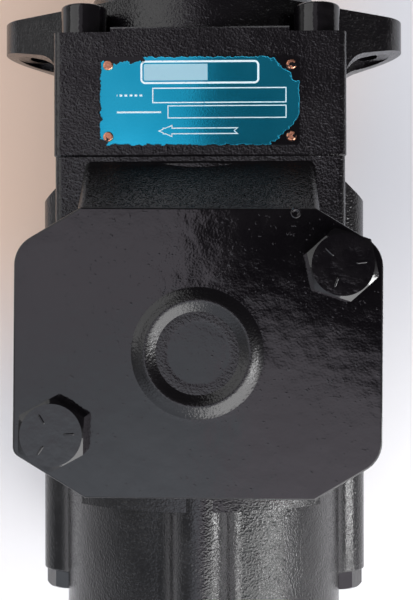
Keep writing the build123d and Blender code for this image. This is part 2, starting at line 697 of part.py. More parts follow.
def make_nameplate():
    """Thin blank plate on top of the mounting cap."""
    blank = Pos(0, PLATE_Y) * RectangleRounded(PLATE_LONG, PLATE_WIDE, PLATE_CORNER_R)
    for spot in rivet_spots():
        blank -= spot * Circle(RIVET_SHANK_R + THREAD_GAP)
    return extrude(Plane.XY.offset(CAP_HALF_WIDTH) * blank, amount=PLATE_THICKNESS)


def make_nameplate_rivets():
    """Four drive rivets with domed heads."""
    head = Cylinder(RIVET_HEAD_R, RIVET_HEAD, align=(Align.CENTER, Align.CENTER, Align.MIN))
    head = fillet(head.edges().group_by(Axis.Z)[-1], RIVET_HEAD * 0.7)
    rivet = head + extrude(Circle(RIVET_SHANK_R), amount=-RIVET_SHANK - PLATE_THICKNESS)
    seat = Plane.XY.offset(CAP_HALF_WIDTH + PLATE_THICKNESS)
    return Compound([seat * spot * rivet for spot in rivet_spots()])


def spline_section(grow=0.0):
    """Straight-sided spline section; grow widens it into the matching bore."""
    section = Sketch() + Circle(SPLINE_ROOT_R + grow)
    tooth = Pos((SHAFT_BODY_R + grow) / 2, 0) * Rectangle(SHAFT_BODY_R + grow, SPLINE_TOOTH_WIDTH + 2 * grow)
    tooth &= Circle(SHAFT_BODY_R + grow)
    for i in range(SPLINE_TEETH):
        section += Rot(0, 0, i * 360 / SPLINE_TEETH) * tooth
    return section


def spline_flutes():
    """Gaps between the spline teeth, cut into the round shaft."""
    flutes = Circle(SHAFT_BODY_R + OVERRUN) - Circle(SPLINE_ROOT_R)
    for i in range(SPLINE_TEETH):
        tooth = Pos(SHAFT_BODY_R, 0) * Rectangle(SHAFT_BODY_R, SPLINE_TOOTH_WIDTH)
        flutes -= Rot(0, 0, i * 360 / SPLINE_TEETH) * tooth
    return flutes


def make_drive_shaft():
    """Keyed shaft with bearing and seal journals and a splined stretch for each rotor."""
    seal_end_y = HUB_FRONT_Y + HUB_END_GAP + JOURNAL_STEP
    circlip_y = BEARING_FRONT_Y + CIRCLIP_THICKNESS
    rear_y = 2 * MIDDLE_Y - HUB_FRONT_Y + HUB_END_GAP
    shaft = turned(
        (0, SHAFT_END_Y),
        (SHAFT_END_R - SHAFT_CHAMFER, SHAFT_END_Y),
        (SHAFT_END_R, SHAFT_END_Y - SHAFT_CHAMFER),
        (SHAFT_END_R, PILOT_HEIGHT + JOURNAL_STEP / 2),
        (SHAFT_JOURNAL_R, PILOT_HEIGHT - JOURNAL_STEP / 2),
        (SHAFT_JOURNAL_R, circlip_y + RUNNING_GAP),
        (SHAFT_JOURNAL_R - CIRCLIP_GROOVE / 2, circlip_y + RUNNING_GAP),
        (SHAFT_JOURNAL_R - CIRCLIP_GROOVE / 2, BEARING_FRONT_Y),
        (SHAFT_JOURNAL_R, BEARING_FRONT_Y),
        (SHAFT_JOURNAL_R, BEARING_REAR_Y),
        (SEAL_JOURNAL_R, BEARING_REAR_Y),
        (SEAL_JOURNAL_R, seal_end_y),
        (SHAFT_BODY_R, seal_end_y - JOURNAL_STEP),
        (SHAFT_BODY_R, rear_y + SHAFT_CHAMFER),
        (SHAFT_BODY_R - SHAFT_CHAMFER, rear_y),
        (0, rear_y),
    )
    shaft -= make_shaft_key(THREAD_GAP)
    flutes = prism(spline_flutes(), CAM_FRONT_Y, CAM_REAR_Y)
    shaft -= flutes
    return shaft - mirrored_end(flutes)


def make_shaft_key(grow=0.0):
    """Square key with round ends near the free end of the shaft; grow gives its seat."""
    width = KEY_WIDTH + 2 * grow
    length = KEY_LENGTH + 2 * grow
    key = SlotOverall(length, width, rotation=90)
    bottom_z = SHAFT_END_R + KEY_STANDOUT - KEY_HEIGHT - grow
    centre_y = SHAFT_END_Y - KEY_FROM_END - KEY_LENGTH / 2
    return extrude(Plane.XY.offset(bottom_z) * Pos(0, centre_y) * key, amount=KEY_HEIGHT + grow)


def race_profile(inner_r, outer_r):
    """Cross-section of one bearing ring, before its ball track is cut."""
    centre_y = (BEARING_FRONT_Y + BEARING_REAR_Y) / 2
    blank = Pos((inner_r + outer_r) / 2, centre_y) * Rectangle(outer_r - inner_r, BEARING_WIDTH)
    return blank - Pos(BALL_PITCH_R, centre_y) * Circle(BALL_R + BALL_GAP)


def make_bearing_outer_ring():
    """Outer ring of the ball bearing."""
    return revolve(race_profile(BALL_PITCH_R + RACE_LIP, BEARING_OUTER_R - PRESS_GAP), axis=Axis.Y)


def make_bearing_inner_ring():
    """Inner ring of the ball bearing, on the shaft journal."""
    return revolve(race_profile(SHAFT_JOURNAL_R + PRESS_GAP, BALL_PITCH_R - RACE_LIP), axis=Axis.Y)


def ball_centres():
    """Places of the bearing balls, with local Z pointing away from the shaft."""
    centre_y = (BEARING_FRONT_Y + BEARING_REAR_Y) / 2
    places = []
    for i in range(BALL_COUNT):
        angle = 360 * i / BALL_COUNT
        x, z = polar(BALL_PITCH_R, angle)
        places.append(Location((x, centre_y, z), (0, 90 - angle, 0)))
    return places


def make_bearing_balls():
    """The bearing balls."""
    return Compound([spot * Sphere(BALL_R) for spot in ball_centres()])


def make_bearing_cage():
    """Cage that keeps the balls apart."""
    centre_y = (BEARING_FRONT_Y + BEARING_REAR_Y) / 2
    cage = ring(
        BALL_PITCH_R + CAGE_HALF_THICKNESS,
        BALL_PITCH_R - CAGE_HALF_THICKNESS,
        centre_y + CAGE_HALF_WIDTH,
        centre_y - CAGE_HALF_WIDTH,
    )
    pocket = Cylinder(BALL_R + BALL_GAP, 6 * CAGE_HALF_THICKNESS)
    return cage - [spot * pocket for spot in ball_centres()]


def make_housing_circlip():
    """Inner retaining ring in front of the bearing, open at the bottom."""
    clip = ring(
        BEARING_OUTER_R + CIRCLIP_GROOVE - PRESS_GAP,
        BEARING_OUTER_R - CIRCLIP_GROOVE,
        BEARING_FRONT_Y + CIRCLIP_THICKNESS,
        BEARING_FRONT_Y,
    )
    gap = Pos(0, -BEARING_OUTER_R) * Rectangle(CIRCLIP_GAP, 4 * CIRCLIP_GROOVE)
    return clip - prism(gap, BEARING_FRONT_Y + CIRCLIP_THICKNESS, BEARING_FRONT_Y)


def make_shaft_circlip():
    """Outer retaining ring on the shaft in front of the bearing, open at the top."""
    clip = ring(
        SHAFT_JOURNAL_R + CIRCLIP_GROOVE,
        SHAFT_JOURNAL_R - CIRCLIP_GROOVE / 2 + PRESS_GAP,
        BEARING_FRONT_Y + CIRCLIP_THICKNESS,
        BEARING_FRONT_Y,
    )
    gap = Pos(0, SHAFT_JOURNAL_R) * Rectangle(CIRCLIP_GAP, 4 * CIRCLIP_GROOVE)
    return clip - prism(gap, BEARING_FRONT_Y + CIRCLIP_THICKNESS, BEARING_FRONT_Y)


def make_shaft_seal():
    """Lip seal behind the bearing: an outer wall, a web and a lip on the shaft."""
    front_y = BEARING_REAR_Y - SEAL_END_GAP
    rear_y = front_y - SEAL_WIDTH
    outer = SEAL_OUTER_R - PRESS_GAP
    lip = SEAL_JOURNAL_R + SEAL_LIP_GAP
    return turned(
        (outer, front_y),
        (lip, front_y),
        (lip, rear_y + 1),
        (lip + SEAL_WALL, rear_y + 1),
        (lip + SEAL_WALL, front_y - SEAL_WALL),
        (outer - SEAL_WALL, front_y - SEAL_WALL),
        (outer - SEAL_WALL, rear_y),
        (outer, rear_y),
    )


def cam_outline(lift):
    """Closed cam curve with two rises, tangent to its dwell radii."""
    spots = []
    for i in range(CAM_POINTS):
        angle = 360 * i / CAM_POINTS
        spots.append(polar(cam_radius(lift, angle), angle))
    return make_face(Spline(*spots, periodic=True))


def cam_radius(lift, angle):
    """Radius of the cam curve: largest along X, smallest along Z."""
    return CAM_MINOR_R + lift * (1 + cos(2 * radians(angle))) / 2


def hardware_holes(y_front, y_rear):
    """Holes for the two cartridge screws and the two dowels."""
    holes = []
    for angle in (90, 270):
        x, z = polar(HARDWARE_R, angle)
        holes.append(rod(CARTRIDGE_SCREW_R + HARDWARE_GAP, y_front, y_rear, x, z))
        x, z = polar(HARDWARE_R, angle + DOWEL_ANGLE)
        holes.append(rod(DOWEL_R + PRESS_GAP, y_front, y_rear, x, z))
    return holes


def sector(inner_r, outer_r, middle_angle, sweep):
    """Part of a ring-shaped sketch between two angles."""
    start = middle_angle - sweep / 2
    end = middle_angle + sweep / 2
    outline = CenterArc((0, 0), outer_r, start, sweep)
    outline += Line(polar(outer_r, end), polar(inner_r, end))
    outline += CenterArc((0, 0), inner_r, start, sweep)
    outline += Line(polar(inner_r, start), polar(outer_r, start))
    return make_face(outline)


def make_pressure_plate():
    """Thick plate on the outlet side of a cartridge, with its hub and two outlet kidneys."""
    plate = rod(CARTRIDGE_R, PRESSURE_PLATE_FRONT_Y, CAM_FRONT_Y)
    plate += rod(HUB_R, HUB_FRONT_Y, PRESSURE_PLATE_FRONT_Y)
    plate -= rod(BUSHING_OUTER_R, HUB_FRONT_Y, CAM_FRONT_Y)
    for angle in (45, 225):
        kidney = sector(KIDNEY_INNER_R, KIDNEY_OUTER_R, angle, KIDNEY_ANGLE)
        plate -= prism(kidney, PRESSURE_PLATE_FRONT_Y, CAM_FRONT_Y)
    groove_y = hub_seal_y() + O_RING_GROOVE_WIDTH / 2
    plate -= ring(HUB_R + OVERRUN, HUB_R - O_RING_GROOVE_DEPTH, groove_y, groove_y - O_RING_GROOVE_WIDTH)
    return plate - hardware_holes(PRESSURE_PLATE_FRONT_Y, CAM_FRONT_Y)


def hub_seal_y():
    """Station of the seal round a pressure plate's hub."""
    return HUB_FRONT_Y - CHAMBER_BOSS_LENGTH / 4


def make_cam_ring(lift):
    """Ring whose inner curve drives the vanes in and out twice a turn."""
    blank = Circle(CARTRIDGE_R) - cam_outline(lift)
    return prism(blank, CAM_FRONT_Y, CAM_REAR_Y) - hardware_holes(CAM_FRONT_Y, CAM_REAR_Y)


def vane_slot_outline():
    """Slot for one vane along local X, with a round oil channel at its root."""
    root_r = VANE_REST_TIP_R - VANE_HEIGHT - SLOT_EXTRA_DEPTH
    width = VANE_THICKNESS + 2 * VANE_SLOT_GAP
    slot = Pos((root_r + ROTOR_R + 1) / 2, 0) * Rectangle(ROTOR_R + 1 - root_r, width)
    return slot + Pos(root_r, 0) * Circle(SLOT_ROOT_R)


def make_rotor():
    """Slotted rotor, splined to the shaft."""
    section = Circle(ROTOR_R) - spline_section(SPLINE_GAP)
    for i in range(VANE_COUNT):
        section -= Rot(0, 0, i * 360 / VANE_COUNT) * vane_slot_outline()
    return prism(section, CAM_FRONT_Y - SIDE_GAP, CAM_REAR_Y + SIDE_GAP)


def make_vane(index):
    """One vane pushed into its slot, with a round tip."""
    tip_r = VANE_THICKNESS / 2
    blade_length = VANE_HEIGHT - tip_r
    base_r = VANE_REST_TIP_R - VANE_HEIGHT
    blade = Pos(base_r + blade_length / 2, 0) * Rectangle(blade_length, VANE_THICKNESS)
    blade += Pos(base_r + blade_length, 0) * Circle(tip_r)
    blade = Rot(0, 0, index * 360 / VANE_COUNT) * blade
    return prism(blade, CAM_FRONT_Y - 2 * SIDE_GAP, CAM_REAR_Y + 2 * SIDE_GAP)


def make_port_plate():
    """Plate on the suction side of a cartridge, with two inlet notches in its rim."""
    plate = ring(CARTRIDGE_R, BUSHING_OUTER_R, CAM_REAR_Y, PORT_PLATE_REAR_Y)
    for angle in (135, 315):
        notch = sector(KIDNEY_INNER_R, CARTRIDGE_R + OVERRUN, angle, NOTCH_ANGLE)
        plate -= prism(notch, CAM_REAR_Y, CAM_REAR_Y - NOTCH_DEPTH)
    return plate - hardware_holes(CAM_REAR_Y, PORT_PLATE_REAR_Y)


def make_bushing(y_front, y_rear):
    """Bronze bushing that carries the shaft in a plate."""
    return ring(BUSHING_OUTER_R - PRESS_GAP, SHAFT_BODY_R + RUNNING_GAP, y_front, y_rear)


def make_cartridge_screws():
    """Two long screws that hold a cartridge together, heads on the suction side."""
    screws = []
    for angle in (90, 270):
        x, z = polar(HARDWARE_R, angle)
        head = rod(CARTRIDGE_SCREW_HEAD_R, PORT_PLATE_REAR_Y, PORT_PLATE_REAR_Y - CARTRIDGE_SCREW_HEAD, x, z)
        screws.append(head + rod(CARTRIDGE_SCREW_R, PRESSURE_PLATE_FRONT_Y, PORT_PLATE_REAR_Y, x, z))
    return Compound(screws)


def make_dowel_pins():
    """Two dowels that line up the plates with the cam ring."""
    front_y = PRESSURE_PLATE_FRONT_Y - DOWEL_INSET
    rear_y = PORT_PLATE_REAR_Y + DOWEL_INSET
    pins = []
    for angle in (90, 270):
        x, z = polar(HARDWARE_R, angle + DOWEL_ANGLE)
        pins.append(rod(DOWEL_R, front_y, rear_y, x, z))
    return Compound(pins)


def cartridge(prefix, lift):
    """All pieces of one cartridge by name, in the front position."""
    pieces = {
        "pressure_plate": make_pressure_plate(),
        "pressure_bushing": make_bushing(HUB_FRONT_Y, CAM_FRONT_Y + BUSHING_RECESS),
        "hub_o_ring": torus_ring(HUB_R - O_RING_GROOVE_DEPTH / 2, O_RING_R, hub_seal_y()),
        "cam_ring": make_cam_ring(lift),
        "rotor": make_rotor(),
        "port_plate": make_port_plate(),
        "port_bushing": make_bushing(CAM_REAR_Y - BUSHING_RECESS, PORT_PLATE_REAR_Y),
        "cartridge_screws": make_cartridge_screws(),
        "dowel_pins": make_dowel_pins(),
    }
    for i in range(VANE_COUNT):
        pieces[f"vane_{i + 1:02d}"] = make_vane(i)
    return {f"{prefix}_{name}": piece for name, piece in pieces.items()}


def joint_o_ring(y_open):
    """Seal in the mouth of a cap's cartridge bore."""
    return torus_ring(CARTRIDGE_BORE_R + O_RING_GROOVE_WIDTH / 2, O_RING_R, y_open + O_RING_GROOVE_DEPTH / 2)


def build_all():
    """Every piece of the pump by node name."""
    pieces = {
        "mounting_cap": make_mounting_cap(),
        "pump_housing": make_pump_housing(),
        "end_cap": make_end_cap(),
        "mounting_cap_screws": make_cap_screws(),
        "end_cap_bolts": make_end_cap_bolts(),
        "mounting_cap_o_ring": joint_o_ring(CAP_REAR_Y),
        "end_cap_o_ring": mirrored_end(joint_o_ring(2 * MIDDLE_Y - HOUSING_REAR_Y)),
        "suction_cover_plate": make_cover_plate(),
        "suction_cover_gasket": make_cover_gasket(),
        "suction_cover_bolts": make_cover_bolts(),
        "nameplate": make_nameplate(),
        "nameplate_rivets": make_nameplate_rivets(),
        "drive_shaft": make_drive_shaft(),
        "shaft_key": make_shaft_key(),
        "shaft_seal": make_shaft_seal(),
        "bearing_outer_ring": make_bearing_outer_ring(),
        "bearing_inner_ring": make_bearing_inner_ring(),
        "bearing_balls": make_bearing_balls(),
        "bearing_cage": make_bearing_cage(),
        "bearing_housing_circlip": make_housing_circlip(),
        "bearing_shaft_circlip": make_shaft_circlip(),
    }
    pieces.update(cartridge("p1", CAM_LIFT_P1))
    rear = cartridge("p2", CAM_LIFT_P2)
    pieces.update({name: mirrored_end(piece) for name, piece in rear.items()})
    return pieces


os.makedirs("parts", exist_ok=True)
for node, solid in build_all().items():
    export_step(solid, f"parts/{node}.step")
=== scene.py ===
"""A tandem hydraulic vane pump under thick black enamel, seen from above its suction port."""
import json
import math

import bpy
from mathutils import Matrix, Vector


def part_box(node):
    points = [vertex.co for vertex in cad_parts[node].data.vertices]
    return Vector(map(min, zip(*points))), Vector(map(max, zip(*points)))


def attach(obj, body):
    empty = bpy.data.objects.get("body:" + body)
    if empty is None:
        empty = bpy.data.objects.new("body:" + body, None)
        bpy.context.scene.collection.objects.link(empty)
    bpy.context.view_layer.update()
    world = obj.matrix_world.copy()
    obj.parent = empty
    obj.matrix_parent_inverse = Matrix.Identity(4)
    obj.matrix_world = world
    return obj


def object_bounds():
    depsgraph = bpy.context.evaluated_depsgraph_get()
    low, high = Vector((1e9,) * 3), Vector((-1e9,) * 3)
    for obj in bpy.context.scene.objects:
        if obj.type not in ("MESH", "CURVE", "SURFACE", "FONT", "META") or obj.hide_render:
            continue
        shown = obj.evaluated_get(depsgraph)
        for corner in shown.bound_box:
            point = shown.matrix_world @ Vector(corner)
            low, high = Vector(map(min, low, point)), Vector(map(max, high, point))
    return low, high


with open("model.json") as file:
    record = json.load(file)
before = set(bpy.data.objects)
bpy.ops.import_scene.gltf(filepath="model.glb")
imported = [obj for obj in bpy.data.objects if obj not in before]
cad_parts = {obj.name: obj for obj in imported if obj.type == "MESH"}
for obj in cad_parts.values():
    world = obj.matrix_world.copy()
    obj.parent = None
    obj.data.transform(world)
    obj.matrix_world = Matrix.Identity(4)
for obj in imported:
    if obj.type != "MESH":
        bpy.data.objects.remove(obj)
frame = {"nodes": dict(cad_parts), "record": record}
bounds_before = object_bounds()

MM = 0.001
LOW, HIGH = bounds_before

# ---- places taken from the frame, in metres ----
PLATE_LOW, PLATE_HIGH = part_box("nameplate")
PLATE_CENTRE = (PLATE_LOW + PLATE_HIGH) / 2
PLATE_HALF_X = (PLATE_HIGH.x - PLATE_LOW.x) / 2
PLATE_HALF_Y = (PLATE_HIGH.y - PLATE_LOW.y) / 2
BOLT_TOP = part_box("suction_cover_bolts")[1].z

# ---- camera: its place in metres, its turn in radians, its lens in millimetres ----
CAMERA_PLACE = (0.01232, -0.12899, 0.48342)
CAMERA_TURN = (0.0057, 0.0228, -0.0017)
CAMERA_LENS = 62.75
CAMERA_SENSOR = 36.0
CAMERA_NEAR = 0.01
CAMERA_FAR = 50.0


# ---------------------------------------------------------------------------------------------
# Shader wires
# ---------------------------------------------------------------------------------------------

# where a Mix node keeps its share, its two colours and the colour that it gives
MIX_SHARE = 0
MIX_FIRST = 6
MIX_SECOND = 7
MIX_RESULT = 2


class Wire:
    """One output socket. Sums written on it become Math nodes in its tree."""

    def __init__(self, board, socket):
        self.board = board
        self.socket = socket

    def sum(self, operation, first, second=None):
        values = {0: first}
        if second is not None:
            values[1] = second
        return self.board.node("ShaderNodeMath", {"operation": operation}, values)

    def __add__(self, other):
        return self.sum("ADD", self, other)

    def __radd__(self, other):
        return self.sum("ADD", other, self)

    def __sub__(self, other):
        return self.sum("SUBTRACT", self, other)

    def __rsub__(self, other):
        return self.sum("SUBTRACT", other, self)

    def __mul__(self, other):
        return self.sum("MULTIPLY", self, other)

    def __rmul__(self, other):
        return self.sum("MULTIPLY", other, self)

    def __truediv__(self, other):
        return self.sum("DIVIDE", self, other)

    def __neg__(self):
        return self.sum("MULTIPLY", self, -1)

    def __abs__(self):
        return self.sum("ABSOLUTE", self)

    def __gt__(self, other):
        return self.sum("GREATER_THAN", self, other)

    def least(self, other):
        return self.sum("MINIMUM", self, other)

    def most(self, other):
        return self.sum("MAXIMUM", self, other)

    def root(self):
        return self.sum("SQRT", self)

    def sine(self):
        return self.sum("SINE", self)

    def clear(self):
        """The value held between 0 and 1."""
        return self.most(0).least(1)

    def step(self, start, end):
        """A soft step from 0 at start to 1 at end."""
        return self.board.node(
            "ShaderNodeMapRange",
            {"interpolation_type": "SMOOTHSTEP"},
            {"Value": self, "From Min": start, "From Max": end, "To Min": 0.0, "To Max": 1.0},
        )


def length_of(x, y):
    """The length of a flat vector, from its two wires."""
    return (x * x + y * y).root()


class Board:
    """A node tree that new nodes are pinned to."""

    def __init__(self, tree):
        self.tree = tree
        self.tree.nodes.clear()

    def node(self, kind, settings=None, values=None, out=0):
        """A new node, set and fed, and the wire from one of its outputs."""
        made = self.tree.nodes.new(kind)
        for name, value in (settings or {}).items():
            setattr(made, name, value)
        for name, value in (values or {}).items():
            self.feed(made.inputs[name], value)
        return Wire(self, made.outputs[out]) if made.outputs else None

    def feed(self, socket, value):
        if isinstance(value, Wire):
            self.tree.links.new(value.socket, socket)
        else:
            socket.default_value = value

    def place(self):
        """Object coordinates, in metres, in the frame's own axes."""
        return self.node("ShaderNodeTexCoord", out="Object")

    def axes(self, vector):
        """A vector's x, y and z."""
        made = self.node("ShaderNodeSeparateXYZ", None, {0: vector})
        return [Wire(self, socket) for socket in made.socket.node.outputs]

    def noise(self, vector, size, detail, roughness):
        """Noise of a grain about size metres across, from 0 to 1."""
        return self.node(
            "ShaderNodeTexNoise",
            None,
            {"Vector": vector, "Scale": 1 / size, "Detail": detail, "Roughness": roughness},
        )

    def blend(self, share, first, second):
        """The first colour where share is 0, the second where it is 1."""
        return self.node(
            "ShaderNodeMix",
            {"data_type": "RGBA"},
            {MIX_SHARE: share, MIX_FIRST: first, MIX_SECOND: second},
            out=MIX_RESULT,
        )

    def squeezed(self, vector, factors):
        """The vector for a pattern made shorter along each axis by its factor."""
        return self.node("ShaderNodeVectorMath", {"operation": "MULTIPLY"}, {0: vector, 1: factors})

    def bump(self, height, unit, strength=1.0):
        """A normal from a height that is counted in units, each of so many metres."""
        return self.node(
            "ShaderNodeBump",
            None,
            {"Height": height, "Distance": unit, "Strength": strength},
        )


def colour(red, green, blue):
    """A display colour, 0 to 255, as linear light."""
    def linear(level):
        level = level / 255
        if level <= 0.04045:
            return level / 12.92
        return ((level + 0.055) / 1.055) ** 2.4
    return (linear(red), linear(green), linear(blue), 1.0)


def new_finish(name):
    material = bpy.data.materials.new(name)
    material.use_nodes = True
    return material, Board(material.node_tree)


def close_finish(board, values):
    shader = board.node("ShaderNodeBsdfPrincipled", None, values)
    board.node("ShaderNodeOutputMaterial", None, {0: shader})


# ---------------------------------------------------------------------------------------------
# Places measured on the solids
# ---------------------------------------------------------------------------------------------

COVER_END_X = 60 * MM
RIDGE_LEAST_RISE = 0.3 * MM
BOLT_TOP_DEPTH = 0.05 * MM


def points_of(node):
    """A node's vertices, in metres in the frame's axes."""
    shape = frame["nodes"][node]
    return [shape.matrix_world @ vertex.co for vertex in shape.data.vertices]


def middle_and_half(levels):
    """The middle and half of the reach of some numbers."""
    low, high = min(levels), max(levels)
    return (low + high) / 2, (high - low) / 2


def ridge_ring():
    """The cover plate's face level, and the centre and outer radius of the ridge on it."""
    points = points_of("suction_cover_plate")
    face = max(point.z for point in points if abs(point.x) > COVER_END_X)
    raised = [point for point in points if point.z > face + RIDGE_LEAST_RISE]
    middle_x, radius = middle_and_half([point.x for point in raised])
    middle_y, _ = middle_and_half([point.y for point in raised])
    return face, Vector((middle_x, middle_y)), radius


def bolt_centres():
    """The middle of each cover bolt's head, left one first."""
    tops = [point for point in points_of("suction_cover_bolts") if point.z > BOLT_TOP - BOLT_TOP_DEPTH]
    between = sum(top.x for top in tops) / len(tops)
    left = [top for top in tops if top.x < between]
    right = [top for top in tops if top.x >= between]
    centres = []
    for head in (left, right):
        middle_x, _ = middle_and_half([top.x for top in head])
        middle_y, _ = middle_and_half([top.y for top in head])
        centres.append(Vector((middle_x, middle_y, BOLT_TOP)))
    return centres


COVER_FACE, RIDGE_CENTRE, RIDGE_R = ridge_ring()

# the middle of a paint pit on the cover plate
PIT = (0.0367, -0.0945)


# ---------------------------------------------------------------------------------------------
# Finishes. The heights under the enamels and the print are in millimetres.
# ---------------------------------------------------------------------------------------------

ENAMEL = (0.0030, 0.0025, 0.0032, 1)
ENAMEL_DUSTY = (0.0050, 0.0043, 0.0051, 1)

CAST_LUMP_RISE = 0.20
CAST_PIMPLE_RISE = 0.060


def cast_enamel(name, grain_rise, rough):
    """Thick gloss black enamel over sand-cast iron, its grain grain_rise millimetres high."""
    material, board = new_finish(name)
    place = board.place()
    lumps = board.noise(place, 7.0 * MM, detail=3.0, roughness=0.5)
    grain = board.noise(place, 0.85 * MM, detail=1.5, roughness=0.6)
    pimples = board.noise(place, 1.4 * MM, detail=1.0, roughness=0.4)
    patches = board.noise(place, 30 * MM, detail=3.0, roughness=0.5)
    height = (
        CAST_LUMP_RISE * lumps
        + grain_rise * (0.7 + 0.6 * patches.step(0.35, 0.65)) * grain
        + CAST_PIMPLE_RISE * pimples.step(0.56, 0.76)
    )
    close_finish(board, {
        "Base Color": board.blend(patches.step(0.35, 0.7), ENAMEL, ENAMEL_DUSTY),
        "Roughness": rough + 0.06 * patches.step(0.3, 0.7) + 0.06 * (grain - 0.5),
        "Normal": board.bump(height, MM),
    })
    return material


COVER_LUMP_RISE = 0.15
COVER_GRAIN_RISE = 0.019
COVER_SPECK_RISE = 0.030
RIDGE_GRAIN_RISE = 0.16
PIT_DEPTH = 0.16
COVER_ROUGH = 0.050
RIDGE_ROUGH = 0.20


def cover_enamel():
    """The same enamel on the flat cover plate, with a pit, specks and coarser grain on the ridge."""
    material, board = new_finish("cover_enamel")
    place = board.place()
    x, y, _ = board.axes(place)
    lumps = board.noise(place, 11.0 * MM, detail=2.0, roughness=0.5)
    grain = board.noise(place, 0.9 * MM, detail=2.0, roughness=0.5)
    specks = board.noise(place, 1.3 * MM, detail=1.0, roughness=0.4).step(0.70, 0.80)
    dust = board.noise(place, 22 * MM, detail=4.0, roughness=0.6)

    def away_from(centre):
        """Millimetres from a centre, across the plate."""
        return length_of(x - centre[0], y - centre[1]) / MM

    pit = away_from(PIT).step(1.3, 0.7)
    from_ridge = away_from(RIDGE_CENTRE) - RIDGE_R / MM
    on_ridge = from_ridge.step(3.5, -1.5) * from_ridge.step(-12.0, -9.5)
    height = (
        COVER_LUMP_RISE * lumps
        + (COVER_GRAIN_RISE + RIDGE_GRAIN_RISE * on_ridge) * grain
        + COVER_SPECK_RISE * specks
        - PIT_DEPTH * pit
    )
    rough = (
        COVER_ROUGH
        + 0.025 * dust.step(0.35, 0.7)
        + 0.03 * (grain - 0.5)
        + RIDGE_ROUGH * on_ridge
    )
    close_finish(board, {
        "Base Color": board.blend(dust.step(0.4, 0.75), ENAMEL, ENAMEL_DUSTY),
        "Roughness": rough,
        "Normal": board.bump(height, MM),
    })
    return material


def bolt_enamel():
    """Gloss enamel on the screw and bolt heads, pooled and uneven."""
    material, board = new_finish("bolt_enamel")
    place = board.place()
    lumps = board.noise(place, 5.0 * MM, detail=2.0, roughness=0.5)
    grain = board.noise(place, 0.8 * MM, detail=2.0, roughness=0.5)
    close_finish(board, {
        "Base Color": board.blend(lumps.step(0.4, 0.7), ENAMEL, ENAMEL_DUSTY),
        "Roughness": 0.08 + 0.05 * grain,
        "Normal": board.bump(0.16 * lumps + 0.022 * grain, MM),
    })
    return material


# ---- the nameplate's print, in millimetres from the plate's middle ----
# a panel is its left, right, lower and upper edge
TITLE_PANEL = (-24.0, 24.2, 6.9, 16.4)
TITLE_CORNER = 2.0
TITLE_LINE = 0.8
TITLE_MARGIN = 1.4
TITLE_PALE_END = 3.1
UPPER_FIELD = (-19.2, 35.2, -0.9, 5.4)
UPPER_LINE = 0.45
UPPER_KEY = (-33.6, -22.4, 1.9, 2.7)
UPPER_KEY_BEAT = 3.1
LOWER_FIELD = (-13.0, 35.2, -7.1, -1.8)
LOWER_LINE = 0.4
LOWER_KEY = (-33.6, -15.6, -4.9, -4.2)
ARROW_MIDDLE = -12.2
ARROW_TIP = -17.0
ARROW_SLOPE = 0.42
ARROW_HEAD_END = -11.0
ARROW_STEM_START = -15.0
ARROW_STEM_END = 14.2
ARROW_STEM_HALF = 1.35
ARROW_NOTCH = 1.2
ARROW_LINE = 0.42
PRINT_EDGE = 0.12

# ---- its inks and metal ----
PLATE_BLUE_DEEP = (0.022, 0.56, 0.84, 1)
PLATE_BLUE = (0.035, 0.64, 0.94, 1)
PLATE_PALE = (0.46, 0.64, 0.70, 1)
PLATE_WHITE = (0.80, 0.90, 0.93, 1)
PALE_SHARE = 0.82

# ---- the black paint on it, in millimetres ----
CREEP_DEPTH = 3.6
NOTCH_RIGHT = 22.5
NOTCH_LOW = 15.4
LEFT_CORNER_DEPTH = 4.0
RIGHT_CORNER_EXTRA = 8.5
PAINT_RISE = 0.035
PRINT_RISE = 0.008


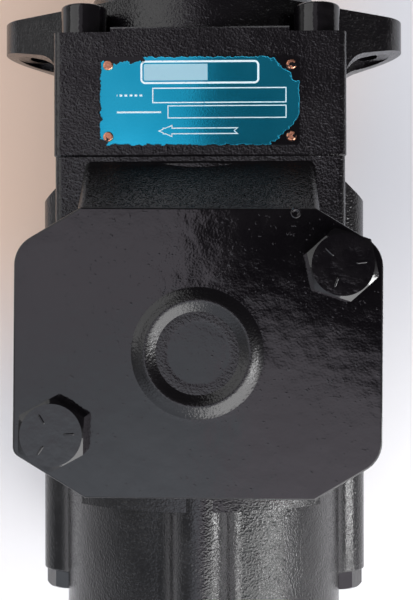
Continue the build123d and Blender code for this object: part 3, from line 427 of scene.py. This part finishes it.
def printed_plate():
    """A blue metallic sheet with empty white-lined fields, an outlined arrow and black overspray."""
    material, board = new_finish("printed_plate")
    place = board.place()
    x, y, _ = board.axes(place)
    u = (x - PLATE_CENTRE.x) / MM
    v = (y - PLATE_CENTRE.y) / MM

    def from_middle(panel):
        """How far a place lies from a panel's middle, across and along, and the panel's halves."""
        left, right, lower, upper = panel
        across = abs(u - (left + right) / 2)
        along = abs(v - (lower + upper) / 2)
        return across, along, (right - left) / 2, (upper - lower) / 2

    def panel_reach(panel):
        """How far inside a square-cornered panel a place lies."""
        across, along, half_x, half_y = from_middle(panel)
        return (half_x - across).least(half_y - along)

    def rounded_reach(panel, corner):
        """How far inside a round-cornered panel a place lies."""
        across, along, half_x, half_y = from_middle(panel)
        past = length_of((across - (half_x - corner)).most(0), (along - (half_y - corner)).most(0))
        return (corner - past).least(panel_reach(panel))

    def filled(reach):
        return reach.step(-PRINT_EDGE, PRINT_EDGE)

    def lined(reach, width):
        return filled(reach) - filled(reach - width)

    # the title frame at the top, with a pale left part that holds no words
    title_reach = rounded_reach(TITLE_PANEL, TITLE_CORNER)
    title = lined(title_reach, TITLE_LINE)
    title_pale = filled(title_reach - TITLE_MARGIN) * u.step(TITLE_PALE_END + 0.3, TITLE_PALE_END)
    # two empty fields, each with a plain key mark at its left
    upper = lined(panel_reach(UPPER_FIELD), UPPER_LINE)
    upper_key = filled(panel_reach(UPPER_KEY)) * (u * UPPER_KEY_BEAT).sine().step(-0.5, 0.1)
    lower = lined(panel_reach(LOWER_FIELD), LOWER_LINE)
    lower_key = filled(panel_reach(LOWER_KEY))
    # an outlined arrow that points to the left, notched at its tail
    off = abs(v - ARROW_MIDDLE)
    head = ((u - ARROW_TIP) * ARROW_SLOPE - off).least(ARROW_HEAD_END - u)
    tail = ARROW_STEM_END + ARROW_NOTCH * off - u
    stem = (ARROW_STEM_HALF - off).least(u - ARROW_STEM_START).least(tail)
    arrow = lined(head.most(stem), ARROW_LINE)
    white = title.most(upper).most(upper_key).most(lower).most(lower_key).most(arrow)

    wear = board.noise(place, 2.2 * MM, detail=3.0, roughness=0.7)
    shade = board.noise(place, 26 * MM, detail=2.0, roughness=0.5)
    blue = board.blend(shade.step(0.3, 0.7), PLATE_BLUE_DEEP, PLATE_BLUE)
    lines = white * wear.step(0.12, 0.42)
    printed = lines.most(PALE_SHARE * title_pale * wear.step(0.1, 0.35)).clear()
    ink = board.blend(lines.clear(), PLATE_PALE, PLATE_WHITE)
    clean = board.blend(printed, blue, ink)

    # black paint that crept over the edges, the top left corner and the right corners
    ragged = board.noise(place, 3.2 * MM, detail=4.0, roughness=0.62)
    rim_x = PLATE_HALF_X / MM - abs(u)
    rim_y = PLATE_HALF_Y / MM - abs(v)
    creep = (CREEP_DEPTH * (ragged - 0.40) - rim_x.least(rim_y)).step(-0.2, 0.2)
    notch_x = -(u + NOTCH_RIGHT + 6.0 * (ragged - 0.5))
    notch_y = v - NOTCH_LOW + 5.0 * (ragged - 0.5)
    notch = notch_x.least(notch_y).step(-0.1, 0.3)
    depth = LEFT_CORNER_DEPTH + RIGHT_CORNER_EXTRA * (u > 0)
    corner = (depth + 10.0 * (ragged - 0.5) - rim_x - 1.1 * rim_y).step(-0.2, 0.4)
    black = creep.most(notch).most(corner).clear()

    fine = board.noise(place, 0.7 * MM, detail=2.0, roughness=0.5)
    close_finish(board, {
        "Base Color": board.blend(black, clean, ENAMEL),
        "Metallic": 0.95 * (1 - black) * (1 - 0.9 * printed),
        "Roughness": 0.085 + 0.05 * (wear - 0.5) + 0.15 * printed,
        "Normal": board.bump(0.006 * fine + PAINT_RISE * black + PRINT_RISE * white, MM),
    })
    return material


COPPER_DARK = (0.55, 0.20, 0.11, 1)
COPPER_BRIGHT = (0.80, 0.40, 0.26, 1)


def rivet_finish():
    """Copper heads, with ragged black paint on about half of each of the two on the right."""
    material, board = new_finish("rivet_copper")
    place = board.place()
    x, _, _ = board.axes(place)
    ragged = board.noise(place, 1.6 * MM, detail=3.0, roughness=0.6)
    black = ragged.step(0.60, 0.63).most((x > 0) * ragged.step(0.47, 0.51))
    stain = board.noise(place, 0.9 * MM, detail=2.0, roughness=0.5)
    copper = board.blend(stain, COPPER_DARK, COPPER_BRIGHT)
    close_finish(board, {
        "Base Color": board.blend(black, copper, ENAMEL),
        "Metallic": 1 - black,
        "Roughness": 0.30 + 0.2 * (stain - 0.5) - 0.1 * black,
        "Normal": board.bump(0.02 * stain + 0.04 * black, MM),
    })
    return material


METAL_GRAIN = 0.8 * MM
METAL_STAIN = 14 * MM
METAL_DARKER = 0.75


def bare_metal(name, base, rough, grain_rise=0.05, squeeze=(1, 1, 1)):
    """Machined metal. Its grain is grain_rise millimetres high and squeezed along some axes."""
    material, board = new_finish(name)
    place = board.place()
    lay = board.squeezed(place, squeeze)
    grain = board.noise(lay, METAL_GRAIN, detail=3.0, roughness=0.6)
    stain = board.noise(place, METAL_STAIN, detail=3.0, roughness=0.6)
    bright = base + (1,)
    darker = tuple(level * METAL_DARKER for level in base) + (1,)
    close_finish(board, {
        "Base Color": board.blend(stain.step(0.3, 0.72), darker, bright),
        "Metallic": 1.0,
        "Roughness": rough + 0.12 * (stain - 0.5) + 0.08 * (grain - 0.5),
        "Normal": board.bump(grain, grain_rise * MM, strength=0.6),
    })
    return material


RUBBER = (0.012, 0.012, 0.012, 1)
RUBBER_PALE = (0.022, 0.022, 0.023, 1)


def soft_rubber():
    material, board = new_finish("soft_rubber")
    grain = board.noise(board.place(), 0.6 * MM, detail=2.0, roughness=0.5)
    close_finish(board, {
        "Base Color": board.blend(grain, RUBBER, RUBBER_PALE),
        "Roughness": 0.5 + 0.15 * grain,
        "Normal": board.bump(grain, 0.04 * MM, strength=0.6),
    })
    return material


FIBRE = (0.03, 0.03, 0.03, 1)
FIBRE_PALE = (0.07, 0.07, 0.066, 1)


def fibre_sheet():
    material, board = new_finish("fibre_sheet")
    threads = board.noise(board.place(), 0.7 * MM, detail=4.0, roughness=0.7)
    close_finish(board, {
        "Base Color": board.blend(threads, FIBRE, FIBRE_PALE),
        "Roughness": 0.75 + 0.15 * threads,
        "Normal": board.bump(threads, 0.08 * MM, strength=0.7),
    })
    return material


finishes = {
    "painted_fastener": bolt_enamel(),
    "seal_rubber": soft_rubber(),
    "gasket_fibre": fibre_sheet(),
    "nameplate_blue": printed_plate(),
    "rivet_copper": rivet_finish(),
    "ground_steel": bare_metal("ground_steel", (0.56, 0.56, 0.56), 0.28, squeeze=(1, 8, 1)),
    "bearing_steel": bare_metal("bearing_steel", (0.70, 0.70, 0.71), 0.14, grain_rise=0.01),
    "bronze": bare_metal("bronze", (0.55, 0.36, 0.16), 0.32),
    "dark_steel": bare_metal("dark_steel", (0.12, 0.12, 0.125), 0.34),
    "cartridge_iron": bare_metal("cartridge_iron", (0.34, 0.34, 0.35), 0.38, grain_rise=0.08),
    "vane_steel": bare_metal("vane_steel", (0.48, 0.48, 0.50), 0.24, squeeze=(1, 6, 1)),
}
enamels = {
    "cap": cast_enamel("cap_enamel", grain_rise=0.15, rough=0.11),
    "body": cast_enamel("body_enamel", grain_rise=0.26, rough=0.10),
    "cover": cover_enamel(),
}
enamel_of = {"suction_cover_plate": "cover", "mounting_cap": "cap"}

slot_of = {row["node"]: row["material_slot"] for row in frame["record"]["subparts"]}
for node, shape in frame["nodes"].items():
    slot = slot_of[node]
    if slot == "black_paint":
        finish = enamels[enamel_of.get(node, "body")]
    else:
        finish = finishes[slot]
    shape.data.materials.clear()
    shape.data.materials.append(finish)


# ---------------------------------------------------------------------------------------------
# Small raised pieces
# ---------------------------------------------------------------------------------------------

BEAD_STEPS = 12
BEAD_SIDES = 10
BEAD_BLUNTNESS = 8
BEAD_END_SHARE = 0.02

RING_STEPS = 32
RING_SIDES = 8

# the bolt heads' marks: their turns in degrees, and one mark's sizes in metres
LEFT_MARKS = (3.0, 120.0, 236.0)
RIGHT_MARKS = (6.0, 137.0, 249.0)
MARK_START = 4.6 * MM
MARK_END = 8.8 * MM
MARK_WIDTH = 0.9 * MM
MARK_RISE = 0.28 * MM

PIT_RING_R = 1.55 * MM
PIT_RING_WIDTH = 0.9 * MM
PIT_RING_RISE = 0.16 * MM


def even_turns(count):
    """Angles evenly round a circle."""
    return [2 * math.pi * i / count for i in range(count)]


def ring_skin(name, rings, closed):
    """A skin over rings of points, joined end to end when closed."""
    count = len(rings[0])
    points = [point for ring in rings for point in ring]
    faces = []
    for i in range(len(rings) if closed else len(rings) - 1):
        first = i * count
        second = (i + 1) % len(rings) * count
        for j in range(count):
            k = (j + 1) % count
            faces.append((first + j, first + k, second + k, second + j))
    mesh = bpy.data.meshes.new(name)
    mesh.from_pydata(points, [], faces)
    mesh.polygons.foreach_set("use_smooth", [True] * len(faces))
    piece = bpy.data.objects.new(name, mesh)
    bpy.context.collection.objects.link(piece)
    return piece


def weld_bead(name, centre, angle, start, end, width, rise):
    """A low rounded bar that runs outwards from a centre, on a flat top."""
    way = Vector((math.cos(angle), math.sin(angle), 0))
    side = Vector((-way.y, way.x, 0))
    rings = []
    for i in range(BEAD_STEPS + 1):
        t = i / BEAD_STEPS
        taper = max(BEAD_END_SHARE, math.sqrt(1 - (2 * t - 1) ** BEAD_BLUNTNESS))
        middle = centre + way * (start + (end - start) * t)
        ring = []
        for turn in even_turns(BEAD_SIDES):
            out = side * (width / 2 * taper * math.cos(turn))
            up = Vector((0, 0, rise * taper * math.sin(turn)))
            ring.append(middle + out + up)
        rings.append(ring)
    return ring_skin(name, rings, closed=False)


def raised_ring(name, centre, radius, width, rise):
    """A low rounded ring on a flat top."""
    rings = []
    for turn in even_turns(RING_STEPS):
        way = Vector((math.cos(turn), math.sin(turn), 0))
        ring = []
        for roll in even_turns(RING_SIDES):
            out = way * (radius + width / 2 * math.cos(roll))
            up = Vector((0, 0, rise * math.sin(roll)))
            ring.append(centre + out + up)
        rings.append(ring)
    return ring_skin(name, rings, closed=True)


def make_grade_marks():
    """Three plain radial marks on the head of each cover bolt."""
    for side, centre, marks in zip(("left", "right"), bolt_centres(), (LEFT_MARKS, RIGHT_MARKS)):
        for number, mark in enumerate(marks, 1):
            name = f"grade_mark_{side}_{number}"
            angle = math.radians(mark)
            piece = weld_bead(name, centre, angle, MARK_START, MARK_END, MARK_WIDTH, MARK_RISE)
            piece.data.materials.append(finishes["painted_fastener"])
            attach(piece, "pump_body")


def make_pit_ring():
    """The low rim of paint round the pit in the cover plate's enamel."""
    centre = Vector((PIT[0], PIT[1], COVER_FACE))
    ring = raised_ring("paint_pit_ring", centre, PIT_RING_R, PIT_RING_WIDTH, PIT_RING_RISE)
    ring.data.materials.append(enamels["cover"])
    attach(ring, "pump_body")


make_grade_marks()
make_pit_ring()


# ---------------------------------------------------------------------------------------------
# Floor, light and camera
# ---------------------------------------------------------------------------------------------

FLOOR_HALF = 4.0
FLOOR_PALE = colour(232, 231, 232)
# painted shade: a darker cool grey for the floor right of the flange, where the lamps light it most
FLOOR_PAINTED_SHADE = colour(200, 201, 206)
# painted light: a warm tone that lifts the floor left of the flange, where the lamps leave it in
# shadow
FLOOR_PAINTED_WARM_LIGHT = colour(246, 216, 194)
FLOOR_GREY = (0.5, 0.5, 0.5, 1)
PAINTED_SHADE_PLACE = (0.12, 0.0)
PAINTED_WARM_LIGHT_PLACE = (-0.11, 0.02)


def floor_finish():
    """A pale floor with a warm tinge of painted light to the left of the flange and a cool, darker
    painted shade to its right.
    """
    material, board = new_finish("pale_floor")
    place = board.place()
    x, y, _ = board.axes(place)

    def near(centre, full, end):
        """1 up to full metres from a centre, then down to 0 at end metres."""
        return length_of(x - centre[0], y - centre[1]).step(end, full)

    grain = board.noise(place, 3 * MM, detail=2.0, roughness=0.5)
    # painted shade: the darker cool patch right of the flange
    tone = board.blend(near(PAINTED_SHADE_PLACE, 0.06, 0.26), FLOOR_PALE, FLOOR_PAINTED_SHADE)
    # painted light: the warm patch left of the flange
    tone = board.blend(near(PAINTED_WARM_LIGHT_PLACE, 0.09, 0.22), tone, FLOOR_PAINTED_WARM_LIGHT)
    tone = board.blend(0.03 * grain, tone, FLOOR_GREY)
    close_finish(board, {"Base Color": tone, "Roughness": 0.75, "Specular IOR Level": 0.2})
    return material


def make_floor():
    mesh = bpy.data.meshes.new("floor")
    corners = [(-FLOOR_HALF, -FLOOR_HALF), (FLOOR_HALF, -FLOOR_HALF),
               (FLOOR_HALF, FLOOR_HALF), (-FLOOR_HALF, FLOOR_HALF)]
    mesh.from_pydata([(x, y, LOW.z) for x, y in corners], [], [(0, 1, 2, 3)])
    floor = bpy.data.objects.new("floor", mesh)
    floor.data.materials.append(floor_finish())
    bpy.context.collection.objects.link(floor)


# ---- the room: where each wall lies, as east and north, and how bright it is ----
RIGHT_WALL = (0.766, -0.643)
BRIGHT_WALL = (0.574, -0.819)
LEFT_WALL = (-0.93, -0.37)
WALL_LEAST = 0.05
RIGHT_LEVEL = 0.55
RIGHT_LOW_EXTRA = 1.20
BRIGHT_LEVEL = 0.8
LEFT_LEVEL = 0.35
LEFT_LOW_EXTRA = 0.55
FRONT_LEVEL = 0.9
CEILING_LEVEL = 1.28
CEILING_FAR_LESS = 0.80
CEILING_NEAR_EXTRA = 0.60

# ---- the dark panel on the ceiling, and where it ends, as slopes from straight up ----
PANEL_LEVEL = 0.015
PANEL_FAR_EXTRA = 0.075
PANEL_LEFT = -0.030
PANEL_NEAR = 0.030
PANEL_SLANT = 0.47

# ---- tints: walls, ceiling and the side towards the end cap ----
WALL_TINT = (1.0, 0.99, 1.0, 1)
CEILING_TINT = (1.0, 0.93, 1.04, 1)
FRONT_TINT = (0.92, 0.98, 1.08, 1)


def make_world():
    """A pale room, brightest low down at the right, with a dark panel overhead for the gloss."""
    world = bpy.data.worlds.new("pale_room")
    world.use_nodes = True
    bpy.context.scene.world = world
    board = Board(world.node_tree)
    x, y, z = board.axes(board.node("ShaderNodeTexCoord", out="Generated"))
    flat = length_of(x, y).most(0.001)
    east = x / flat
    north = y / flat
    up = z.most(0.05)
    across = x / up
    along = y / up

    def towards(wall):
        return wall[0] * east + wall[1] * north

    right = towards(RIGHT_WALL).step(0.60, 0.85)
    bright = towards(BRIGHT_WALL).step(0.62, 0.95)
    left = towards(LEFT_WALL).step(0.60, 0.97)
    front = (-north).step(0.30, 0.95) * (1 - right)
    right_level = RIGHT_LEVEL + RIGHT_LOW_EXTRA * z.step(0.22, -0.02)
    left_level = LEFT_LEVEL + LEFT_LOW_EXTRA * z.step(0.42, 0.05)
    walls = (
        WALL_LEAST
        + right_level * right
        + BRIGHT_LEVEL * bright
        + left * left_level
        + FRONT_LEVEL * front
    )

    edge = along - PANEL_NEAR + PANEL_SLANT * (across - PANEL_LEFT)
    panel = (across - PANEL_LEFT).step(-0.008, 0.008) * edge.step(-0.055, 0.025)
    away = along.step(0.05, 0.20)
    ahead = along.step(-0.03, -0.30)
    open_level = CEILING_LEVEL - CEILING_FAR_LESS * away + CEILING_NEAR_EXTRA * ahead
    panel_level = PANEL_LEVEL + PANEL_FAR_EXTRA * away
    ceiling = open_level * (1 - panel) + panel_level * panel

    overhead = z.step(0.80, 0.94)
    level = walls * (1 - overhead) + ceiling * overhead
    tone = board.blend(overhead, WALL_TINT, CEILING_TINT)
    tone = board.blend(north.step(0.2, -0.8) * (1 - bright), tone, FRONT_TINT)
    background = board.node("ShaderNodeBackground", None, {"Color": tone, "Strength": level})
    board.node("ShaderNodeOutputWorld", None, {0: background})


def area_lamp(name, place, target, width, height, power):
    """An oval lamp at a place, turned to a target."""
    lamp = bpy.data.lights.new(name, "AREA")
    lamp.shape = "ELLIPSE"
    lamp.size = width
    lamp.size_y = height
    lamp.energy = power
    holder = bpy.data.objects.new(name, lamp)
    holder.location = place
    aim = Vector(target) - Vector(place)
    holder.rotation_euler = aim.to_track_quat("-Z", "Y").to_euler()
    bpy.context.collection.objects.link(holder)


def make_lamps():
    middle = (LOW + HIGH) / 2
    beside = (0.22, -0.26, LOW.z)
    area_lamp("window_right", (0.72, -1.10, 0.78), middle, width=1.6, height=1.3, power=20.0)
    area_lamp("window_left", (-1.0, 0.60, 1.05), middle, width=1.7, height=1.3, power=8.0)
    area_lamp("low_right", (0.40, -0.27, 0.26), beside, width=0.12, height=0.12, power=0.75)


def make_camera():
    lens = bpy.data.cameras.new("camera")
    lens.lens = CAMERA_LENS
    lens.sensor_width = CAMERA_SENSOR
    lens.sensor_fit = "AUTO"
    lens.clip_start = CAMERA_NEAR
    lens.clip_end = CAMERA_FAR
    camera = bpy.data.objects.new("camera", lens)
    camera.location = CAMERA_PLACE
    camera.rotation_mode = "XYZ"
    camera.rotation_euler = CAMERA_TURN
    bpy.context.collection.objects.link(camera)
    bpy.context.scene.camera = camera


make_floor()
make_world()
make_lamps()
make_camera()
bpy.context.scene.view_settings.view_transform = "Standard"
